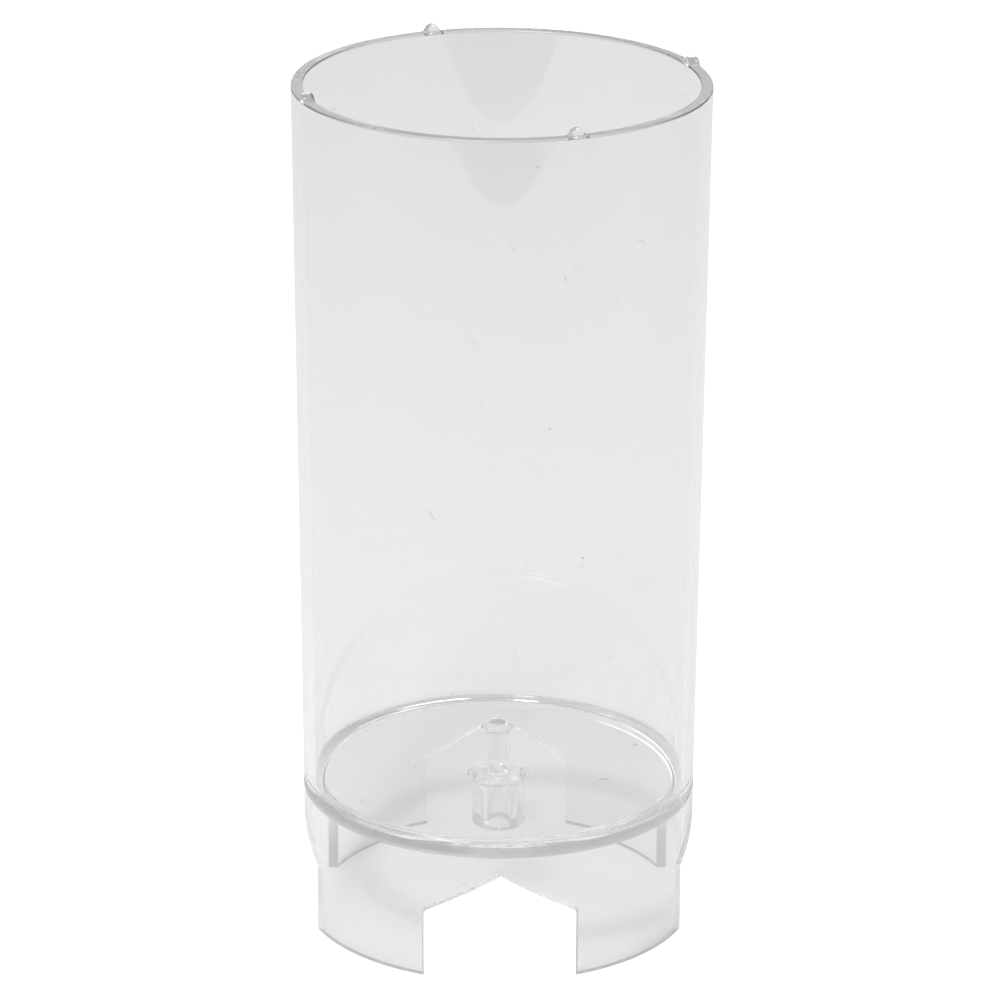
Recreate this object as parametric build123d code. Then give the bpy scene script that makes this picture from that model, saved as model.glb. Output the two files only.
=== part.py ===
"""Body of a small protein skimmer: a clear, slightly tapered cylinder, open at the top, cemented to a
floor disc that stands on a skirt foot with a gabled opening on each side.

Frame: +Z up, origin on the floor at the cylinder's axis. -Y is the front. Millimetres.
From the bottom up: foot_skirt, floor_disc (with centre_socket and air_nozzle below it), floor_bead
in the corner above the disc, body_tube, and the rim_pip pieces on the rim.
"""
from build123d import *
import math
import os

# ---- Body tube -------------------------------------------------------------------------------
RIM_R = 46.0           # outer radius at the open rim
FOOT_R = 44.6          # outer radius at the floor disc, and all the way down the skirt
WALL = 2.6             # wall of the tube and of the skirt, measured level
BODY_H = 162.4         # tube alone, from the floor disc's top to the rim
RIM_ROUND = 0.5        # rounding of the rim's two edges

# ---- Floor disc and its cement bead ----------------------------------------------------------
FLOOR_T = 2.6          # disc thickness
BEAD_R = 2.2           # radius of the hollow cement bead between disc and tube

# ---- Skirt foot with four gabled openings ----------------------------------------------------
SKIRT_H = 30.0         # skirt height, from the ground to the disc's underside
ARCH_HALF_W = 17.0     # half width of each opening
ARCH_PITCH = 30.0      # slope of the gable, degrees
ARCH_CROWN = 4.4       # band of skirt left above each gable's peak
ARCH_SHOULDER_R = 1.5  # rounding where the upright sides meet the gable

# ---- Centre socket, below the disc -----------------------------------------------------------
SOCKET_R = 6.05        # barrel
SOCKET_BORE_R = 2.75   # bore open to below
SOCKET_HOLE_R = 2.35   # smaller hole through the disc, so that a stem stops against it
SOCKET_LEN = 12.0
SOCKET_FLARE = 1.35    # hollow flare at the root

# ---- Air nozzle, below the disc behind the socket --------------------------------------------
NOZZLE_R = 3.0
NOZZLE_BORE_R = 2.0
NOZZLE_LEN = 11.0
NOZZLE_FLARE = 1.1     # hollow flare at the root
NOZZLE_BACK = 27.4     # from the axis towards the back, +Y

BOSS_EDGE = 0.4        # chamfer round the lower end of socket and nozzle

# ---- Rim pips --------------------------------------------------------------------------------
PIP_R = 1.7            # each pip is a half round lying across the rim
PIP_COUNT = 4
PIP_TURN = 20.0        # first pip, degrees from +X towards +Y

# ---- Levels and inner radii that follow ------------------------------------------------------
DISC_TOP = SKIRT_H + FLOOR_T
RIM_Z = DISC_TOP + BODY_H
TAPER = (RIM_R - FOOT_R) / BODY_H            # gain in radius per millimetre of height
ARCH_PEAK = SKIRT_H - ARCH_CROWN
ARCH_SHOULDER = ARCH_PEAK - ARCH_HALF_W * math.tan(math.radians(ARCH_PITCH))
CUT_OVER = 5.0                               # how far a cutting tool runs past what it cuts


def tube_inner_r(z):
    """Inner radius of the body tube at height z above the ground."""
    return FOOT_R + TAPER * (z - DISC_TOP) - WALL


def revolved(*edges):
    """Solid turned from a closed outline in the XZ plane, all the way round the Z axis."""
    return revolve(make_face(Wire(edges)), Axis.Z)


def body_tube():
    """Tapered tube, the same level wall all the way up, with both rim edges rounded."""
    outline = Polyline(
        (tube_inner_r(DISC_TOP), 0, DISC_TOP),
        (FOOT_R, 0, DISC_TOP),
        (RIM_R, 0, RIM_Z),
        (tube_inner_r(RIM_Z), 0, RIM_Z),
        close=True,
    )
    tube = revolve(make_face(outline), Axis.Z)
    return fillet(tube.edges().group_by(Axis.Z)[-1].filter_by(GeomType.CIRCLE), RIM_ROUND)


def floor_bead():
    """Ring of set cement in the corner between disc and tube, with a hollow quarter-round face."""
    top = DISC_TOP + BEAD_R
    corner = (tube_inner_r(DISC_TOP), 0, DISC_TOP)
    toe = (tube_inner_r(DISC_TOP) - BEAD_R, 0, DISC_TOP)
    tip = (tube_inner_r(top), 0, top)
    sag = BEAD_R * (1 - math.sqrt(0.5))
    middle = (tube_inner_r(DISC_TOP) - sag, 0, DISC_TOP + sag)
    return revolved(Line(toe, corner), Line(corner, tip), ThreePointArc(tip, middle, toe))


def floor_disc():
    """Flat disc that the tube stands on, with the socket's hole and the nozzle's hole."""
    disc = Pos(0, 0, SKIRT_H) * Cylinder(FOOT_R, FLOOR_T, align=(Align.CENTER, Align.CENTER, Align.MIN))
    middle = SKIRT_H + FLOOR_T / 2
    through = FLOOR_T + 2 * CUT_OVER
    disc -= Pos(0, 0, middle) * Cylinder(SOCKET_HOLE_R, through)
    disc -= Pos(0, NOZZLE_BACK, middle) * Cylinder(NOZZLE_BORE_R, through)
    return disc


def gable_cutter():
    """Prism along Y with the outline of two opposite openings: upright sides and a pitched top."""
    outline = Polygon(
        (-ARCH_HALF_W, -CUT_OVER),
        (ARCH_HALF_W, -CUT_OVER),
        (ARCH_HALF_W, ARCH_SHOULDER),
        (0, ARCH_PEAK),
        (-ARCH_HALF_W, ARCH_SHOULDER),
        align=None,
    )
    shoulders = outline.vertices().filter_by(lambda v: abs(v.Y - ARCH_SHOULDER) < 1e-6)
    outline = fillet(shoulders, ARCH_SHOULDER_R)
    return extrude(Plane.XZ * outline, FOOT_R + CUT_OVER, both=True)


def foot_skirt():
    """Straight ring under the disc, cut through front to back and side to side into four legs."""
    seat = (Align.CENTER, Align.CENTER, Align.MIN)
    skirt = Cylinder(FOOT_R, SKIRT_H, align=seat) - Cylinder(FOOT_R - WALL, SKIRT_H, align=seat)
    for turn in (0, 90):
        skirt -= Rot(0, 0, turn) * gable_cutter()
    return skirt


def boss(radius, bore_r, length, flare):
    """Tube hanging from the disc's underside, with a hollow flare at its root and a chamfered end."""
    low = SKIRT_H - length
    top = SKIRT_H
    sag = flare * (1 - math.sqrt(0.5))
    return revolved(
        Line((bore_r, 0, low), (radius - BOSS_EDGE, 0, low)),
        Line((radius - BOSS_EDGE, 0, low), (radius, 0, low + BOSS_EDGE)),
        Line((radius, 0, low + BOSS_EDGE), (radius, 0, top - flare)),
        ThreePointArc((radius, 0, top - flare), (radius + sag, 0, top - sag), (radius + flare, 0, top)),
        Line((radius + flare, 0, top), (bore_r, 0, top)),
        Line((bore_r, 0, top), (bore_r, 0, low)),
    )


def rim_pip(index):
    """Half round lying across the rim, as long as the flat of the rim is wide."""
    seat = (Align.CENTER, Align.CENTER, Align.MIN)
    outer = RIM_R - RIM_ROUND
    inner = tube_inner_r(RIM_Z) + RIM_ROUND
    band = Cylinder(outer, PIP_R, align=seat) - Cylinder(inner, PIP_R, align=seat)
    bar = Pos((outer + inner) / 2, 0, 0) * Rot(0, 90, 0) * Cylinder(PIP_R, WALL + 2 * PIP_R)
    pip = band & bar
    return Rot(0, 0, PIP_TURN + 360 / PIP_COUNT * index) * Pos(0, 0, RIM_Z) * pip


def all_parts():
    """Every piece by node name."""
    parts = {
        "foot_skirt": foot_skirt(),
        "floor_disc": floor_disc(),
        "floor_bead": floor_bead(),
        "body_tube": body_tube(),
        "centre_socket": boss(SOCKET_R, SOCKET_BORE_R, SOCKET_LEN, SOCKET_FLARE),
        "air_nozzle": Pos(0, NOZZLE_BACK, 0) * boss(NOZZLE_R, NOZZLE_BORE_R, NOZZLE_LEN, NOZZLE_FLARE),
    }
    for index in range(PIP_COUNT):
        parts[f"rim_pip_{index + 1}"] = rim_pip(index)
    return parts


os.makedirs("parts", exist_ok=True)
for node, shape in all_parts().items():
    export_step(shape, f"parts/{node}.step")
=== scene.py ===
"""Clear plastic body of a small protein skimmer, finished for rendering.

Every piece is a closed surface of its own, in metres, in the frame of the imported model. Where two
pieces are cemented together, the faces that meet are a bare see-through layer a hair apart, so that
light crosses the joint as it does in bonded plastic instead of bouncing off a film of air. The bead
and the pips keep plastic faces all round.
"""
import math
import bmesh
import bpy
import numpy as np
from mathutils import Matrix, Vector


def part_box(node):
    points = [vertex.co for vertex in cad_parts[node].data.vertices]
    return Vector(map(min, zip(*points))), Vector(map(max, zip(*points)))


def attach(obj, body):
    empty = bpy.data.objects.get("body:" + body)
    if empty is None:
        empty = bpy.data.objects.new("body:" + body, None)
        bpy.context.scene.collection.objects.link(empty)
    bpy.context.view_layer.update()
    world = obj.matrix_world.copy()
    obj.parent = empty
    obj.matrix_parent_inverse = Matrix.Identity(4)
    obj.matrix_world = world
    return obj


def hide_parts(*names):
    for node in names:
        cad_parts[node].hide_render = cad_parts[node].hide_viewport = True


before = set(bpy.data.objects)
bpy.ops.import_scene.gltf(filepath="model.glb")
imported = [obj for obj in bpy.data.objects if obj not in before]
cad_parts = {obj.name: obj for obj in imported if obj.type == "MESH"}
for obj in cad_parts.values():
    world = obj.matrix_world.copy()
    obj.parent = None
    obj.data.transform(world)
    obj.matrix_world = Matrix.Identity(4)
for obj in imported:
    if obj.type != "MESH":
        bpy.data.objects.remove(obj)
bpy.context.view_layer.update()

# ---- Sizes read from the frame ---------------------------------------------------------------
TUBE_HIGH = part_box("body_tube")[1]
DISC_LOW, DISC_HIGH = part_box("floor_disc")
BEAD_LOW, BEAD_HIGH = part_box("floor_bead")
SOCKET_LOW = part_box("centre_socket")[0]
NOZZLE_LOW, NOZZLE_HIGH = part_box("air_nozzle")
RIM_R = TUBE_HIGH[0]             # outer radius at the rim
FOOT_R = DISC_HIGH[0]            # outer radius at the disc and down the skirt
RIM_Z = TUBE_HIGH[2]
DISC_TOP = DISC_HIGH[2]
DISC_UNDER = DISC_LOW[2]
BEAD_R = BEAD_HIGH[2] - BEAD_LOW[2]
NOZZLE_Y = (NOZZLE_LOW[1] + NOZZLE_HIGH[1]) / 2
TAPER = (RIM_R - FOOT_R) / (RIM_Z - DISC_TOP)

# ---- Sizes that the frame's boxes do not give ------------------------------------------------
WALL = 0.0026
RIM_ROUND = 0.0005
ARCH_HALF_W = 0.017
ARCH_PITCH = math.radians(30)
ARCH_CROWN = 0.0044
ARCH_SHOULDER_R = 0.0015
SOCKET_R = 0.00605
SOCKET_BORE_R = 0.00275
SOCKET_HOLE_R = 0.00235
SOCKET_FLARE = 0.00135
NOZZLE_R = 0.003
NOZZLE_BORE_R = 0.002
NOZZLE_FLARE = 0.0011
FLARE_TALL = 0.0027
BOSS_EDGE = 0.0004
PIP_R = 0.0017
PIP_FOOT = 0.35 * PIP_R          # height below which a pip's face belongs to its feet
PIP_TURN = 20                    # degrees from +X to the first pip
PIP_HALF_ANGLE = 3               # degrees of rim to each side that a pip and its flared feet take
BOND = 0.000005                  # half the hair's breadth between two cemented faces

ARCH_PEAK = DISC_UNDER - ARCH_CROWN
ROUND_STEPS = 360                # points round the tube, the bead and the disc
BOSS_STEPS = 96                  # points round the bosses and the disc's holes
TUBE_STEPS = 40                  # points up each wall of the tube
HOLLOW_STEPS = 17                # points along the hollow of the bead and of a boss's flare
LEG_STEPS = 40                   # columns across each leg of the skirt
SKIRT_ROWS = 7                   # points up each wall of the skirt
PLASTIC, BOND_FACE, SAWN, TURNED = 0, 1, 2, 3    # kinds of face: moulded, cemented, sawn, turned


# ---- Surfaces --------------------------------------------------------------------------------
def arc(centre_r, centre_z, radius, start, end, count):
    """Points (r, z) on a circle round (centre_r, centre_z), from angle start to end in degrees."""
    angle = np.radians(np.linspace(start, end, count))
    return np.stack([centre_r + radius * np.cos(angle), centre_z + radius * np.sin(angle)], axis=1)


def line(start, end, count=2):
    """Evenly spaced points (r, z) from start to end."""
    share = np.linspace(0, 1, count)[:, None]
    return np.array(start) * (1 - share) + np.array(end) * share


def outline(*runs):
    """Joins runs, each (points, kind), into one closed loop and the kind of face of each edge."""
    points = np.concatenate([points[:-1] for points, kind in runs])
    kinds = np.concatenate([np.full(len(points) - 1, kind) for points, kind in runs])
    return points, kinds


def grid_faces(rows, columns, wrap_rows=True, wrap_columns=True):
    """Quads of a grid of rows x columns points, the last joined to the first where it wraps."""
    index = np.arange(rows * columns).reshape(rows, columns)
    i = np.arange(rows if wrap_rows else rows - 1)
    j = np.arange(columns if wrap_columns else columns - 1)
    i, j = np.meshgrid(i, j, indexing="ij")
    i2, j2 = (i + 1) % rows, (j + 1) % columns
    return np.stack([index[i, j], index[i2, j], index[i2, j2], index[i, j2]], axis=-1).reshape(-1, 4)


def piece(name, points, faces, kinds, finish, replaces, sharp=30):
    """Makes a closed mesh piece, smooth except at edges sharper than the angle, in degrees."""
    mesh = bpy.data.meshes.new(name)
    mesh.from_pydata(points.tolist(), [], [list(face) for face in faces])
    used, index = np.unique(kinds, return_inverse=True)
    mesh.polygons.foreach_set("material_index", index.astype(np.int32))
    mesh.polygons.foreach_set("use_smooth", np.ones(len(mesh.polygons), dtype=bool))
    mesh.set_sharp_from_angle(angle=math.radians(sharp))
    for kind in used:
        mesh.materials.append((finish, BOND_LAYER, SAWN_FINISH, TURNED_FINISH)[kind])
    mesh.update()
    thing = bpy.data.objects.new(name, mesh)
    bpy.context.collection.objects.link(thing)
    shade = thing.modifiers.new("even_shade", "WEIGHTED_NORMAL")
    shade.keep_sharp = True
    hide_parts(*replaces)
    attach(thing, "root")
    return thing


def close_seams(thing):
    """Merges points that lie on each other, which closes the feather edges of a piece."""
    mesh = bmesh.new()
    mesh.from_mesh(thing.data)
    bmesh.ops.remove_doubles(mesh, verts=mesh.verts, dist=1e-7)
    mesh.to_mesh(thing.data)
    mesh.free()


def turned(profile, kinds, columns, centre=(0, 0)):
    """A profile of (r, z) points carried round the Z axis: x = r cos a, y = r sin a, z = z."""
    angle = 2 * np.pi * np.arange(columns) / columns
    r, z = profile[:, 0], profile[:, 1]
    points = np.stack([
        centre[0] + np.cos(angle)[:, None] * r,
        centre[1] + np.sin(angle)[:, None] * r,
        np.broadcast_to(z, (columns, len(z))),
    ], axis=-1).reshape(-1, 3)
    return points, grid_faces(columns, len(z)), np.tile(kinds, columns)


# ---- Finishes --------------------------------------------------------------------------------
def node(tree, kind, place=(0, 0), **values):
    """Adds a shader node and sets the named inputs."""
    made = tree.nodes.new(kind)
    made.location = place
    for name, value in values.items():
        made.inputs[name.replace("_", " ")].default_value = value
    return made


def maths(tree, operation, first, second=0.0, place=(0, 0)):
    """Adds a Math node; each operand is a number or an output. Gives its output."""
    made = tree.nodes.new("ShaderNodeMath")
    made.operation = operation
    made.location = place
    for socket, operand in zip(made.inputs, (first, second)):
        if isinstance(operand, bpy.types.NodeSocket):
            tree.links.new(operand, socket)
        else:
            socket.default_value = operand
    return made.outputs[0]


def group(name, inputs, outputs):
    """An empty node group with named inputs, each (name, kind, start value), and named outputs."""
    made = bpy.data.node_groups.new(name, "ShaderNodeTree")
    for label, kind, start in inputs:
        made.interface.new_socket(label, in_out="INPUT", socket_type=kind).default_value = start
    for label in outputs:
        made.interface.new_socket(label, in_out="OUTPUT", socket_type="NodeSocketFloat")
    return made, made.nodes.new("NodeGroupInput"), made.nodes.new("NodeGroupOutput")


SPECK_REACH = 0.02               # radius of a speck, as a share of its cell
CLEAN_CELLS = 0.7                # share of the cells without a speck
HAIR_WIDTH = 0.0018              # half the band of noise levels that a hair takes
HAIR_FREE = 0.78                 # level of the patch noise below which there are no hairs


def marks_group():
    """Marks of handling: specks of dirt, hair scratches, and a haze that comes and goes.

    A speck is the middle of a random few cells of a Voronoi pattern. A hair scratch is a thin band
    along the middle level of a noise, kept only where a finer noise is high. Marks goes from 0,
    clean, to 1, and to half of that on a hair.
    """
    made, given, out = group(
        "handling_marks",
        [
            ("Vector", "NodeSocketVector", (0, 0, 0)), ("Speck Scale", "NodeSocketFloat", 100.0),
            ("Hair Scale", "NodeSocketFloat", 60.0), ("Haze Scale", "NodeSocketFloat", 30.0),
        ],
        ["Marks", "Haze"],
    )
    specks = node(made, "ShaderNodeTexVoronoi")
    near = maths(made, "LESS_THAN", specks.outputs["Distance"], SPECK_REACH)
    pick = node(made, "ShaderNodeSeparateXYZ")
    few = maths(made, "GREATER_THAN", pick.outputs["X"], CLEAN_CELLS)
    hair = node(made, "ShaderNodeTexNoise", Detail=0.5)
    level = maths(made, "ABSOLUTE", maths(made, "SUBTRACT", hair.outputs[0], 0.5))
    thin = maths(made, "MULTIPLY", maths(made, "LESS_THAN", level, HAIR_WIDTH), 0.5)
    patches = node(made, "ShaderNodeTexNoise", Scale=160.0, Detail=0.0)
    where = maths(made, "GREATER_THAN", patches.outputs[0], HAIR_FREE)
    haze = node(made, "ShaderNodeTexNoise", Detail=4.0, Roughness=0.6)
    for texture in (specks, hair, patches, haze):
        made.links.new(given.outputs["Vector"], texture.inputs["Vector"])
    made.links.new(given.outputs["Speck Scale"], specks.inputs["Scale"])
    made.links.new(given.outputs["Hair Scale"], hair.inputs["Scale"])
    made.links.new(given.outputs["Haze Scale"], haze.inputs["Scale"])
    made.links.new(specks.outputs["Color"], pick.inputs[0])
    both = maths(made, "MAXIMUM", maths(made, "MULTIPLY", near, few), maths(made, "MULTIPLY", thin, where))
    made.links.new(both, out.inputs["Marks"])
    made.links.new(haze.outputs[0], out.inputs["Haze"])
    return made


def bubbles_group():
    """Fine bubbles and grit: a fine noise times one five times as coarse, from 0 to 1."""
    made, given, out = group(
        "bubbles",
        [("Vector", "NodeSocketVector", (0, 0, 0)), ("Scale", "NodeSocketFloat", 1500.0)],
        ["Bubbles"],
    )
    fine = node(made, "ShaderNodeTexNoise", Detail=2.0)
    coarse = node(made, "ShaderNodeTexNoise", Detail=1.0)
    made.links.new(given.outputs["Scale"], fine.inputs["Scale"])
    made.links.new(maths(made, "MULTIPLY", given.outputs["Scale"], 0.2), coarse.inputs["Scale"])
    for texture in (fine, coarse):
        made.links.new(given.outputs["Vector"], texture.inputs["Vector"])
    made.links.new(maths(made, "MULTIPLY", fine.outputs[0], coarse.outputs[0]), out.inputs["Bubbles"])
    return made


MARKS = marks_group()
BUBBLES = bubbles_group()


def placed(tree, made, place, **values):
    """Puts a node group in a material, with its own values."""
    thing = tree.nodes.new("ShaderNodeGroup")
    thing.node_tree = made
    thing.location = place
    for name, value in values.items():
        thing.inputs[name.replace("_", " ")].default_value = value
    return thing


def bond_layer():
    """The see-through layer on cemented faces, shared by every piece."""
    material = bpy.data.materials.new("bond_layer")
    material.use_nodes = True
    tree = material.node_tree
    tree.nodes.clear()
    clear = node(tree, "ShaderNodeBsdfTransparent")
    out = node(tree, "ShaderNodeOutputMaterial", (300, 0))
    tree.links.new(clear.outputs[0], out.inputs["Surface"])
    return material


def clear_plastic(name, tint, haze, head_on, grit=0.0, grit_scale=1500.0, specks=100.0):
    """Clear plastic: glassy, with marks of handling, and with grit where it is set or cut.

    Marks take the tint down to the marked colour. Haze and grit add to the roughness, and grit
    makes a fine relief. Light on its way to or from the floor goes straight through, times head_on,
    and less and less where a face is seen on edge.
    """
    material = bpy.data.materials.new(name)
    material.use_nodes = True
    tree = material.node_tree
    tree.nodes.clear()
    places = node(tree, "ShaderNodeTexCoord", (-1200, 0)).outputs["Object"]
    marks = placed(tree, MARKS, (-900, 200), Speck_Scale=specks)
    tree.links.new(places, marks.inputs["Vector"])
    colour = node(tree, "ShaderNodeMix", (-600, 300))
    colour.data_type = "RGBA"
    colour.inputs["A"].default_value = (*tint, 1)
    colour.inputs["B"].default_value = (*MARKED, 1)
    tree.links.new(marks.outputs["Marks"], colour.inputs["Factor"])
    roughness = maths(tree, "MULTIPLY", marks.outputs["Haze"], haze, (-600, 0))
    surface = node(tree, "ShaderNodeBsdfPrincipled", IOR=1.5, Transmission_Weight=1.0)
    tree.links.new(colour.outputs["Result"], surface.inputs["Base Color"])
    if grit:
        bubbles = placed(tree, BUBBLES, (-900, -200), Scale=grit_scale)
        tree.links.new(places, bubbles.inputs["Vector"])
        rough = maths(tree, "MULTIPLY", bubbles.outputs["Bubbles"], grit, (-600, -150))
        roughness = maths(tree, "ADD", roughness, rough, (-300, 0))
        relief = node(tree, "ShaderNodeBump", (-300, -300), Strength=grit, Distance=GRIT_HIGH)
        tree.links.new(bubbles.outputs["Bubbles"], relief.inputs["Height"])
        tree.links.new(relief.outputs[0], surface.inputs["Normal"])
    tree.links.new(roughness, surface.inputs["Roughness"])
    straight = node(tree, "ShaderNodeBsdfTransparent", (0, -500))
    facing = node(tree, "ShaderNodeLayerWeight", (-1000, -600), Blend=0.5)
    on_edge = maths(tree, "POWER", facing.outputs["Facing"], EDGE_POWER, (-700, -600))
    rest = maths(tree, "SUBTRACT", 1.0, on_edge, (-500, -600))
    tree.links.new(maths(tree, "MULTIPLY", rest, head_on, (-300, -600)), straight.inputs["Color"])
    path = node(tree, "ShaderNodeLightPath", (0, 500))
    closures = surface.outputs[0]
    for kind, place in (("Is Diffuse Ray", 400), ("Is Shadow Ray", 600)):
        mix = node(tree, "ShaderNodeMixShader", (place, 0))
        tree.links.new(path.outputs[kind], mix.inputs[0])
        tree.links.new(closures, mix.inputs[1])
        tree.links.new(straight.outputs[0], mix.inputs[2])
        closures = mix.outputs[0]
    out = node(tree, "ShaderNodeOutputMaterial", (800, 0))
    tree.links.new(closures, out.inputs["Surface"])
    return material


MARKED = (0.3, 0.3, 0.3)         # tint of a speck
GRIT_HIGH = 0.0002               # height of the grit's relief, in metres
EDGE_POWER = 8.0                 # the higher, the later a face darkens as it turns on edge
BOND_LAYER = bond_layer()
WALL_FINISH = clear_plastic("clear_wall", (0.97, 0.965, 0.97), haze=0.02, head_on=0.99)
SKIRT_FINISH = clear_plastic("clear_skirt", (0.95, 0.945, 0.95), haze=0.02, head_on=0.985)
FLOOR_FINISH = clear_plastic("clear_floor", (0.975, 0.97, 0.975), haze=0.02, head_on=0.98, specks=140.0)
BOSS_FINISH = clear_plastic("clear_boss", (0.975, 0.97, 0.975), haze=0.04, head_on=0.92, specks=200.0)
CEMENT_FINISH = clear_plastic(
    "set_cement", (0.99, 0.985, 0.99), haze=0.04, head_on=0.5, grit=0.02, grit_scale=1800.0,
)
SAWN_FINISH = clear_plastic(
    "sawn_edge", (0.99, 0.99, 0.99), haze=0.8, head_on=0.9, grit=0.05, grit_scale=5000.0,
)
TURNED_FINISH = clear_plastic(
    "turned_edge", (0.58, 0.58, 0.59), haze=0.6, head_on=0.5, grit=0.08, grit_scale=6000.0,
)


# ---- Pieces ----------------------------------------------------------------------------------
def tube_inner_r(z):
    """Inner radius of the tube at height z: the outer taper less the level wall."""
    return FOOT_R + TAPER * (z - DISC_TOP) - WALL


def rim_section():
    """The rim from its inner wall over the top to its outer wall, both edges rounded."""
    inner = tube_inner_r(RIM_Z)
    over_inner = arc(inner + RIM_ROUND, RIM_Z - RIM_ROUND, RIM_ROUND, 180, 90, 7)
    over_outer = arc(RIM_R - RIM_ROUND, RIM_Z - RIM_ROUND, RIM_ROUND, 90, 0, 7)
    return np.concatenate([over_inner, over_outer])


def body_tube():
    """Tapered tube turned from its section; the rim is turned and the lower end is bonded."""
    foot = DISC_TOP + BOND
    bead_top = BEAD_HIGH[2]
    inner = tube_inner_r(RIM_Z)
    section, kinds = outline(
        (line((FOOT_R - WALL, foot), (FOOT_R, foot)), BOND_FACE),
        (line((FOOT_R, foot), (RIM_R, RIM_Z - RIM_ROUND), TUBE_STEPS), PLASTIC),
        (rim_section()[::-1], TURNED),
        (line((inner, RIM_Z - RIM_ROUND), (tube_inner_r(bead_top), bead_top), TUBE_STEPS), PLASTIC),
        (line((tube_inner_r(bead_top), bead_top), (FOOT_R - WALL, foot)), PLASTIC),
    )
    points, faces, kinds = turned(section, kinds, ROUND_STEPS)
    return piece("body_tube_clear", points, faces, kinds, WALL_FINISH, ["body_tube"])


def floor_bead():
    """Ring of cement with a hollow quarter-round face, in the corner of the disc and the tube."""
    low, high = BEAD_LOW[2] + BOND, BEAD_HIGH[2]
    corner = FOOT_R - WALL - 2 * BOND
    tip = tube_inner_r(high) - 2 * BOND
    face = arc(corner - BEAD_R, high, BEAD_R, 0, -90, HOLLOW_STEPS)
    face[:, 0] += np.linspace(tip - corner, 0, HOLLOW_STEPS)
    face[-1, 1] = low
    section, kinds = outline(
        (face, PLASTIC),
        (line((corner - BEAD_R, low), (corner, low)), PLASTIC),
        (line((corner, low), (tip, high)), PLASTIC),
    )
    points, faces, kinds = turned(section, kinds, ROUND_STEPS)
    return piece("floor_bead_set", points, faces, kinds, CEMENT_FINISH, ["floor_bead"])


def boss(name, replaced, radius, bore_r, low, flare, centre):
    """Tube under the disc with a chamfered lower edge; its root flares out in a hollow quarter
    ellipse, taller than it is wide."""
    high = DISC_UNDER - BOND
    hollow = arc(0, 0, 1, 180, 90, HOLLOW_STEPS) * (flare, FLARE_TALL)
    hollow += (radius + flare, high - FLARE_TALL)
    section, kinds = outline(
        (line((bore_r, low), (radius - BOSS_EDGE, low)), PLASTIC),
        (line((radius - BOSS_EDGE, low), (radius, low + BOSS_EDGE)), PLASTIC),
        (line((radius, low + BOSS_EDGE), (radius, high - FLARE_TALL), 8), PLASTIC),
        (hollow, PLASTIC),
        (line((radius + flare, high), (bore_r, high)), BOND_FACE),
        (line((bore_r, high), (bore_r, low), 8), PLASTIC),
    )
    points, faces, kinds = turned(section, kinds, BOSS_STEPS, centre)
    return piece(name, points, faces, kinds, BOSS_FINISH, [replaced], sharp=40)


def ring_points(radius, centre_y, z, count):
    """Points on a level circle round (0, centre_y), from the back: the angle goes once round."""
    angle = 2 * np.pi * np.arange(count) / count + np.pi / 2
    return np.stack([radius * np.cos(angle), centre_y + radius * np.sin(angle), np.full(count, z)], axis=1)


def floor_disc():
    """Flat disc with two holes.

    Circles round the middle and round the nozzle are joined by strips. The plain of each face is two
    flat halves that meet on the line through both holes. The see-through face under the tube reaches
    in under the bead as well.
    """
    top, under = DISC_TOP - BOND, DISC_UNDER + BOND
    count, small = ROUND_STEPS, BOSS_STEPS
    toe = FOOT_R - WALL - BEAD_R
    circles = {
        "top_toe": (toe, 0, top, count), "top_edge": (FOOT_R, 0, top, count),
        "under_edge": (FOOT_R, 0, under, count), "under_wall": (FOOT_R - WALL, 0, under, count),
        "top_hole": (SOCKET_HOLE_R, 0, top, small), "under_hole": (SOCKET_HOLE_R, 0, under, small),
        "socket_bore": (SOCKET_BORE_R, 0, under, small),
        "socket_root": (SOCKET_R + SOCKET_FLARE, 0, under, small),
        "top_bore": (NOZZLE_BORE_R, NOZZLE_Y, top, small),
        "under_bore": (NOZZLE_BORE_R, NOZZLE_Y, under, small),
        "nozzle_root": (NOZZLE_R + NOZZLE_FLARE, NOZZLE_Y, under, small),
    }
    start, points = {}, []
    for name, (radius, centre_y, z, number) in circles.items():
        start[name] = sum(len(ring) for ring in points)
        points.append(ring_points(radius, centre_y, z, number))
    faces, kinds = [], []

    def strip(first, second, kind):
        """Quads between two circles of as many points."""
        number = circles[first][3]
        i = np.arange(number)
        j = (i + 1) % number
        a, b = start[first], start[second]
        faces.extend(np.stack([a + i, a + j, b + j, b + i], axis=1).tolist())
        kinds.extend([kind] * number)

    def half(name, side):
        """A circle's points on one side of the line through both holes, from back to front."""
        number = circles[name][3]
        steps = np.arange(number // 2 + 1) * side
        return (start[name] + steps % number).tolist()

    def plain(outer, near_hole, far_hole, up):
        """The two flat halves of a face, pointing up or down."""
        for side in (1, -1):
            edge = half(outer, side) + half(near_hole, side)[::-1] + half(far_hole, side)[::-1]
            faces.append(edge if (side == 1) == up else edge[::-1])
            kinds.append(PLASTIC)

    strip("top_edge", "top_toe", BOND_FACE)
    strip("under_edge", "top_edge", TURNED)
    strip("under_wall", "under_edge", BOND_FACE)
    strip("top_hole", "under_hole", PLASTIC)
    strip("under_hole", "socket_bore", PLASTIC)
    strip("socket_bore", "socket_root", BOND_FACE)
    strip("top_bore", "under_bore", PLASTIC)
    strip("under_bore", "nozzle_root", BOND_FACE)
    plain("top_toe", "top_hole", "top_bore", True)
    plain("under_wall", "socket_root", "nozzle_root", False)
    return piece(
        "floor_disc_clear", np.concatenate(points), faces, kinds, FLOOR_FINISH, ["floor_disc"],
    )


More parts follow.
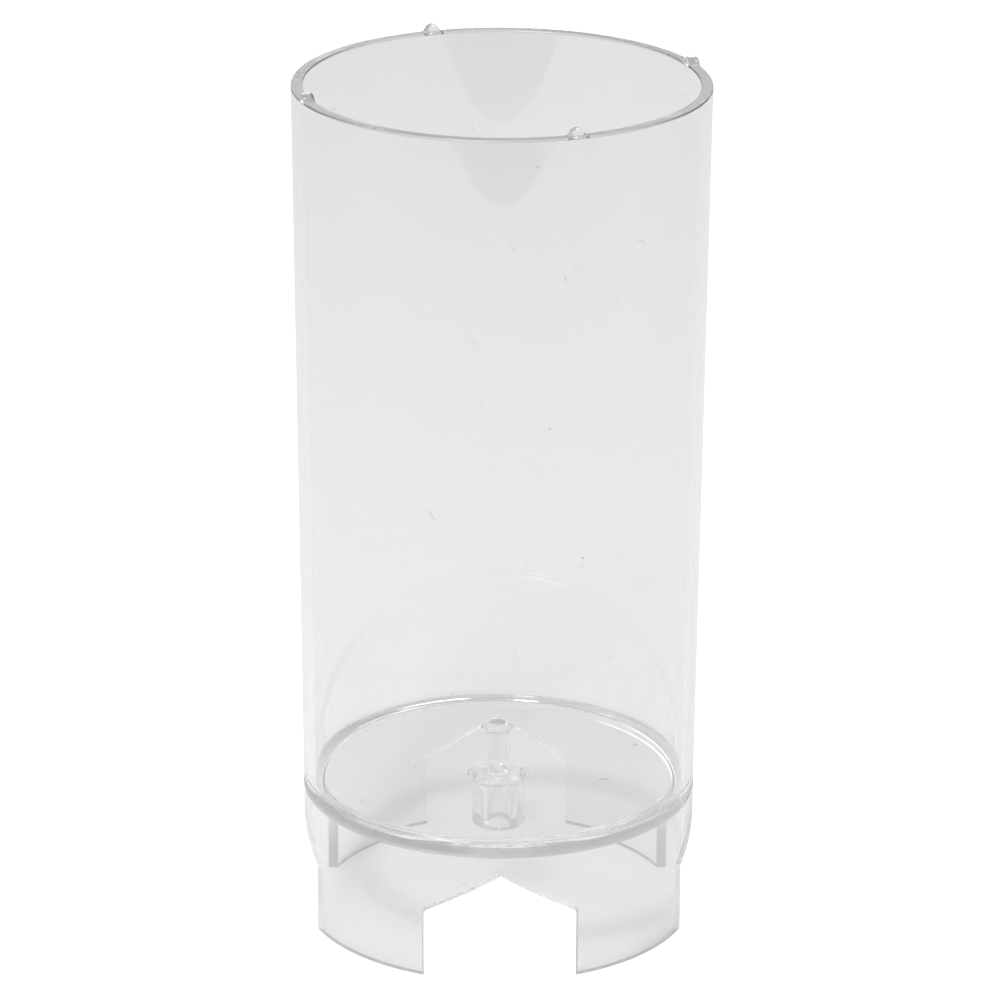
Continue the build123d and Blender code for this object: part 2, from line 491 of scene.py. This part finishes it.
def gable_edge():
    """(x, z) of an opening's top from x = -half width to +half width: round shoulder, slope, peak."""
    tangent = ARCH_SHOULDER_R * math.tan(ARCH_PITCH)
    shoulder = ARCH_PEAK - ARCH_HALF_W * math.tan(ARCH_PITCH)
    round_end = 90 - math.degrees(ARCH_PITCH)
    turn = arc(ARCH_HALF_W - ARCH_SHOULDER_R, shoulder - tangent, ARCH_SHOULDER_R, 0, round_end, 7)
    slope = line(turn[-1], (0, ARCH_PEAK), 24)
    right = np.concatenate([turn, slope[1:]])
    left = right[:-1] * (-1, 1)
    return np.concatenate([left, right[::-1]])


def skirt_columns():
    """Each column's angle on the outer and on the inner wall, and the height of its lower edge.

    An opening is cut straight through, so its column at half width x stands at arcsin(x / radius)
    on each wall. Between the openings the legs' columns are evenly spaced.
    """
    edge = gable_edge()
    share = np.linspace(0, 1, LEG_STEPS + 1)[1:-1]
    outer, inner, lower = [], [], []
    for quarter in range(4):
        turn = quarter * np.pi / 2
        for angles, radius in ((outer, FOOT_R), (inner, FOOT_R - WALL)):
            first = np.arcsin(ARCH_HALF_W / radius)
            angles.append(turn + np.arcsin(edge[:, 0] / radius))
            angles.append(turn + first + share * (np.pi / 2 - 2 * first))
        lower += [edge[:, 1], np.full(LEG_STEPS - 1, edge[0, 1])]
    return [np.concatenate(part) for part in (outer, inner, lower)]


def skirt_wall(angles, radius, bottom, top):
    """A wall's points, column by column, evenly spaced in height from bottom to top."""
    share = np.linspace(0, 1, SKIRT_ROWS)
    z = bottom[:, None] * (1 - share) + top * share
    around = np.broadcast_to(angles[:, None], z.shape)
    return np.stack([radius * np.sin(around), -radius * np.cos(around), z], axis=-1)


def quads(a, b, c, d):
    """Faces of four corners from four arrays of point numbers."""
    return np.stack([a, b, c, d], axis=-1).reshape(-1, 4)


def leg_faces(outer, inner):
    """A leg's faces and their kinds, from the point numbers (column, row) of its two walls."""
    walls = [
        quads(outer[:-1, :-1], outer[1:, :-1], outer[1:, 1:], outer[:-1, 1:]),
        quads(inner[:-1, :-1], inner[:-1, 1:], inner[1:, 1:], inner[1:, :-1]),
    ]
    cuts = [
        quads(outer[:-1, 0], inner[:-1, 0], inner[1:, 0], outer[1:, 0]),
        quads(outer[0, :-1], outer[0, 1:], inner[0, 1:], inner[0, :-1]),
        quads(outer[-1, :-1], inner[-1, :-1], inner[-1, 1:], outer[-1, 1:]),
    ]
    kinds = [np.full(len(part), PLASTIC) for part in walls] + [np.full(len(part), SAWN) for part in cuts]
    return np.concatenate(walls + cuts), np.concatenate(kinds)


def foot_skirt():
    """Ring with four legs.

    Above the openings' shoulders the ring runs all the way round; below them only the legs' columns
    go on to the ground.
    """
    outer, inner, lower = skirt_columns()
    high = DISC_UNDER - BOND
    upper = np.concatenate([
        skirt_wall(outer, FOOT_R, lower, high),
        skirt_wall(inner, FOOT_R - WALL, lower, high)[:, ::-1],
    ], axis=1)
    columns, ring = upper.shape[:2]
    leg_columns = LEG_STEPS + 1
    first_leg = columns // 4 - LEG_STEPS
    legs = [
        (quarter * (columns // 4) + first_leg + np.arange(leg_columns)) % columns for quarter in range(4)
    ]
    keep = np.ones((columns, ring), dtype=bool)
    for leg in legs:
        keep[leg[:-1], ring - 1] = False
    rise = [PLASTIC] * (SKIRT_ROWS - 1)
    points = [upper.reshape(-1, 3)]
    faces = [grid_faces(columns, ring)[keep.ravel()]]
    kinds = [np.tile(rise + [BOND_FACE] + rise + [SAWN], columns)[keep.ravel()]]
    start = columns * ring
    for leg in legs:
        walls = []
        for angles, radius, join in ((outer, FOOT_R, 0), (inner, FOOT_R - WALL, ring - 1)):
            below = skirt_wall(angles[leg], radius, np.zeros(leg_columns), lower[leg[0]])[:, :-1]
            index = start + np.arange(leg_columns * (SKIRT_ROWS - 1)).reshape(leg_columns, -1)
            start += index.size
            points.append(below.reshape(-1, 3))
            walls.append(np.column_stack([index, leg * ring + join]))
        leg_part, leg_kinds = leg_faces(*walls)
        faces.append(leg_part)
        kinds.append(leg_kinds)
    return piece(
        "foot_skirt_clear", np.concatenate(points), np.concatenate(faces), np.concatenate(kinds),
        SKIRT_FINISH, ["foot_skirt"],
    )


def pip_profile():
    """(offset, height) across a pip: a half round whose feet run out on to the rim in hollow rounds."""
    foot = RIM_R * math.radians(PIP_HALF_ANGLE)
    flare = (foot**2 - PIP_R**2) / (2 * PIP_R)
    meet = math.degrees(math.atan2(flare, foot))
    hollow = arc(foot, flare, flare, -90, meet - 180, 9)
    dome = arc(0, 0, PIP_R, meet, 180 - meet, 31)
    return np.concatenate([hollow, dome[1:-1], hollow[::-1] * (-1, 1)])[::-1]


def rim_pip(number):
    """Half round across the rim: at each step round the rim, the rim's own section is lifted by the
    pip's height there, and closed down its two sides to the rim itself. Its low feet are turned."""
    section = rim_section()
    offset, height = pip_profile().T
    angle = math.radians(PIP_TURN + 90 * (number - 1)) + offset / RIM_R
    r = np.concatenate([section[:, 0], section[::-1, 0]])
    under = section[:, 1] + (BOND * height / PIP_R)[:, None]
    over = section[::-1, 1] + height[:, None]
    z = np.concatenate([under, over], axis=1)
    points = np.stack([np.cos(angle)[:, None] * r, np.sin(angle)[:, None] * r, z], axis=-1).reshape(-1, 3)
    columns, ring = z.shape
    faces = grid_faces(columns, ring, wrap_rows=False)
    low = (height[:-1] + height[1:]) / 2 < PIP_FOOT
    kinds = np.repeat(np.where(low, TURNED, PLASTIC), ring)
    pip = piece(
        f"rim_pip_{number}_clear", points, faces, kinds, WALL_FINISH, [f"rim_pip_{number}"],
    )
    close_seams(pip)
    return pip


body_tube()
floor_bead()
floor_disc()
foot_skirt()
boss("centre_socket_clear", "centre_socket", SOCKET_R, SOCKET_BORE_R, SOCKET_LOW[2], SOCKET_FLARE, (0, 0))
boss("air_nozzle_clear", "air_nozzle", NOZZLE_R, NOZZLE_BORE_R, NOZZLE_LOW[2], NOZZLE_FLARE, (0, NOZZLE_Y))
for pip in (1, 2, 3, 4):
    rim_pip(pip)


# ---- Stage, light and camera -----------------------------------------------------------------
def flat_card(name, low, high, z, material):
    """Level rectangle on the stage, from corner low to corner high, in metres."""
    mesh = bpy.data.meshes.new(name)
    corners = [(low[0], low[1], z), (high[0], low[1], z), (high[0], high[1], z), (low[0], high[1], z)]
    mesh.from_pydata(corners, [], [(0, 1, 2, 3)])
    card = bpy.data.objects.new(name, mesh)
    bpy.context.collection.objects.link(card)
    mesh.materials.append(material)
    return card


def floor_paper():
    """Pale matt paper: white to the eye, and grey in what the plastic bends and mirrors, with painted
    shade that darkens it in front of the object. It glows a little to the eye, so that no shadow shows on
    it directly."""
    material = bpy.data.materials.new("pale_floor")
    material.use_nodes = True
    tree = material.node_tree
    surface = tree.nodes["Principled BSDF"]
    surface.inputs["Roughness"].default_value = 0.9
    surface.inputs["Specular IOR Level"].default_value = 0.0
    path = node(tree, "ShaderNodeLightPath", (-600, 0))
    mix = node(tree, "ShaderNodeMix", (-300, 0))
    mix.data_type = "RGBA"
    mix.inputs["B"].default_value = (*PAPER_SEEN, 1)
    places = node(tree, "ShaderNodeTexCoord", (-1200, 300))
    split = node(tree, "ShaderNodeSeparateXYZ", (-1000, 300))
    # painted shade: the paper in the plastic darkens from its back tone to its front tone towards the
    # camera
    back = node(tree, "ShaderNodeMapRange", (-800, 300), From_Min=FADE_FRONT, From_Max=FADE_BACK)
    front_shade = node(tree, "ShaderNodeMix", (-600, 300))
    front_shade.data_type = "RGBA"
    front_shade.inputs["A"].default_value = (*PAPER_SHADED_IN_FRONT, 1)
    front_shade.inputs["B"].default_value = (*PAPER_IN_PLASTIC, 1)
    tree.links.new(places.outputs["Object"], split.inputs[0])
    tree.links.new(split.outputs["Y"], back.inputs["Value"])
    tree.links.new(back.outputs["Result"], front_shade.inputs["Factor"])
    tree.links.new(front_shade.outputs["Result"], mix.inputs["A"])
    tree.links.new(path.outputs["Is Camera Ray"], mix.inputs["Factor"])
    tree.links.new(mix.outputs["Result"], surface.inputs["Base Color"])
    surface.inputs["Emission Color"].default_value = (1, 1, 1, 1)
    glow = maths(tree, "MULTIPLY", path.outputs["Is Camera Ray"], PAPER_GLOW, (-300, -300))
    tree.links.new(glow, surface.inputs["Emission Strength"])
    return material


def dark_flag():
    """Black cloth that only mirror images show: it is clear to any ray that hasn't been mirrored."""
    material = bpy.data.materials.new("dark_flag")
    material.use_nodes = True
    tree = material.node_tree
    surface = tree.nodes["Principled BSDF"]
    surface.inputs["Base Color"].default_value = (0.02, 0.02, 0.02, 1)
    surface.inputs["Roughness"].default_value = 0.9
    clear = node(tree, "ShaderNodeBsdfTransparent", (0, -300))
    path = node(tree, "ShaderNodeLightPath", (-300, 300))
    mix = node(tree, "ShaderNodeMixShader", (300, 0))
    tree.links.new(path.outputs["Glossy Depth"], mix.inputs[0])
    tree.links.new(clear.outputs[0], mix.inputs[1])
    tree.links.new(surface.outputs[0], mix.inputs[2])
    tree.links.new(mix.outputs[0], tree.nodes["Material Output"].inputs["Surface"])
    return material


PAPER_SEEN = (0.93, 0.93, 0.93)          # the paper to the eye
PAPER_IN_PLASTIC = (0.84, 0.83, 0.835)   # the paper in the plastic, round and behind the object
PAPER_SHADED_IN_FRONT = (0.56, 0.553, 0.556)    # the paper in the plastic, well in front of the object, darkened by painted shade
PAPER_GLOW = 0.4                         # strength of the paper's glow to the eye
FADE_FRONT, FADE_BACK = -0.7, -0.1       # y where the paper's painted shade is full, in front, and where it gives way to the back tone
FLAG_NEAR, FLAG_FAR = -0.60, -1.6        # y of the flag's two ends


def stage():
    """Wide pale floor, and the flag lying in front of the object."""
    flat_card("floor", (-6, -6), (6, 6), 0, floor_paper())
    flag = flat_card("dark_flag", (-1.5, FLAG_FAR), (1.5, FLAG_NEAR), 0.001, dark_flag())
    flag.visible_camera = False
    flag.visible_shadow = False
    flag.visible_diffuse = False


LEFT_LIGHT, RIGHT_LIGHT = 0.72, 0.48     # strength of the surroundings on the two sides
SKY_SEEN = 1.1                           # strength of the surroundings to the eye


def light():
    """Soft light from all round, brighter on the left, and two soft boxes."""
    world = bpy.data.worlds.new("studio")
    bpy.context.scene.world = world
    world.use_nodes = True
    tree = world.node_tree
    sky = tree.nodes["Background"]
    sky.inputs["Color"].default_value = (1, 1, 1, 1)
    where = node(tree, "ShaderNodeTexCoord", (-900, 0))
    split = node(tree, "ShaderNodeSeparateXYZ", (-700, 0))
    side = node(tree, "ShaderNodeMapRange", (-500, 0), From_Min=-1, From_Max=1)
    side.inputs["To Min"].default_value = LEFT_LIGHT
    side.inputs["To Max"].default_value = RIGHT_LIGHT
    tree.links.new(where.outputs["Generated"], split.inputs[0])
    tree.links.new(split.outputs["X"], side.inputs["Value"])
    path = node(tree, "ShaderNodeLightPath", (-500, 300))
    pick = node(tree, "ShaderNodeMix", (-250, 0))
    pick.inputs["B"].default_value = SKY_SEEN
    tree.links.new(path.outputs["Is Camera Ray"], pick.inputs["Factor"])
    tree.links.new(side.outputs["Result"], pick.inputs["A"])
    tree.links.new(pick.outputs["Result"], sky.inputs["Strength"])
    soft_box("key", (-0.37, -0.9, 1.27), aim=(0, 0, 0.05), side=0.3, watts=13.5)
    soft_box("fill", (0.25, 0.8, 1.0), aim=(0, 0.3, 0), side=0.3, watts=2)


def soft_box(name, place, aim, side, watts):
    """Square area light of the given side, in metres, turned to the aim point."""
    data = bpy.data.lights.new(name, "AREA")
    data.shape = "SQUARE"
    data.size = side
    data.energy = watts
    lamp = bpy.data.objects.new(name, data)
    bpy.context.collection.objects.link(lamp)
    lamp.location = place
    lamp.rotation_euler = (Vector(aim) - Vector(place)).to_track_quat("-Z", "Y").to_euler()


def camera():
    """Long lens from above the height of the rim, pitched down at the object, with a trace of roll."""
    distance, height = 1.0304, 0.4812
    pitch, round_axis, roll = math.radians(20.4045), math.radians(0.7), math.radians(0.285)
    ahead = Vector((math.sin(round_axis), math.cos(round_axis), 0))
    right = Vector((math.cos(round_axis), -math.sin(round_axis), 0))
    forward = ahead * math.cos(pitch) - Vector((0, 0, math.sin(pitch)))
    up = right.cross(forward)
    rolled_right = right * math.cos(roll) + up * math.sin(roll)
    rolled_up = up * math.cos(roll) - right * math.sin(roll)
    data = bpy.data.cameras.new("camera")
    data.sensor_width = 36
    data.lens = 176.34
    data.clip_end = 50
    thing = bpy.data.objects.new("camera", data)
    bpy.context.collection.objects.link(thing)
    place = -ahead * distance + Vector((0, 0, height))
    axes = Matrix((rolled_right, rolled_up, -forward)).transposed().to_4x4()
    thing.matrix_world = Matrix.Translation(place) @ axes
    bpy.context.scene.camera = thing


BOUNCES = 96                     # enough for light that runs round inside the clear rim
stage()
light()
camera()
bpy.context.scene.view_settings.view_transform = "Standard"
tracer = bpy.context.scene.cycles
tracer.max_bounces = BOUNCES
tracer.glossy_bounces = BOUNCES
tracer.transmission_bounces = BOUNCES
tracer.transparent_max_bounces = BOUNCES
